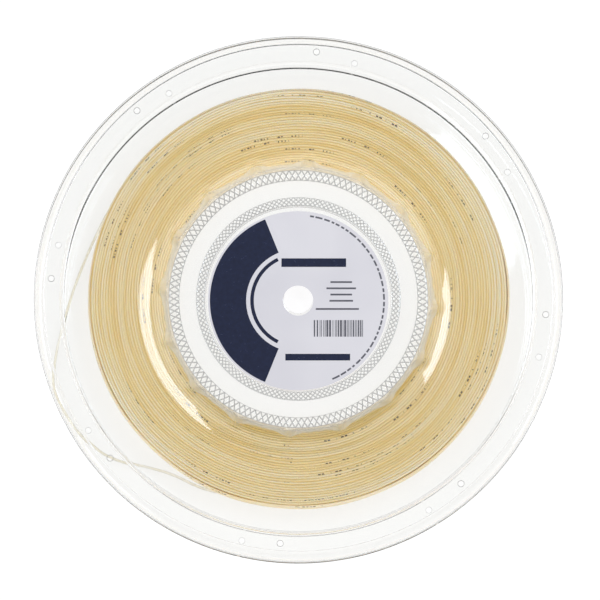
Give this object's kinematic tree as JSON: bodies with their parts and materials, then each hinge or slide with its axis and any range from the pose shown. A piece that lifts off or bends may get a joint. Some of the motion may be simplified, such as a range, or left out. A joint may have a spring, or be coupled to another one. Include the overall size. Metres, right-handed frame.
{
  "type": "racket string reel",
  "caption": "Round clear plastic reel wound with racket string, with a curled rim, a ribbed hub, a centre hole and a round label.",
  "frame": {"origin": "centre of the rear face, on the reel's axis, where the reel lies on a surface", "axes": "+Z along the reel's axis, out of the labelled front face; +Y towards the top of the label; +X to its right"},
  "size_m": [0.27, 0.27, 0.022],
  "materials": {
    "clear_shell": "clear thermoformed sheet, glossy",
    "string": "natural nylon monofilament, translucent, satin gloss",
    "label": "coated paper, printed, satin"
  },
  "bodies": {
    "root": {"front_shell": "clear_shell", "rear_shell": "clear_shell", "front_label": "label", "string_winding": "string", "string_slack_turn": "string"}
  },
  "joints": []
}
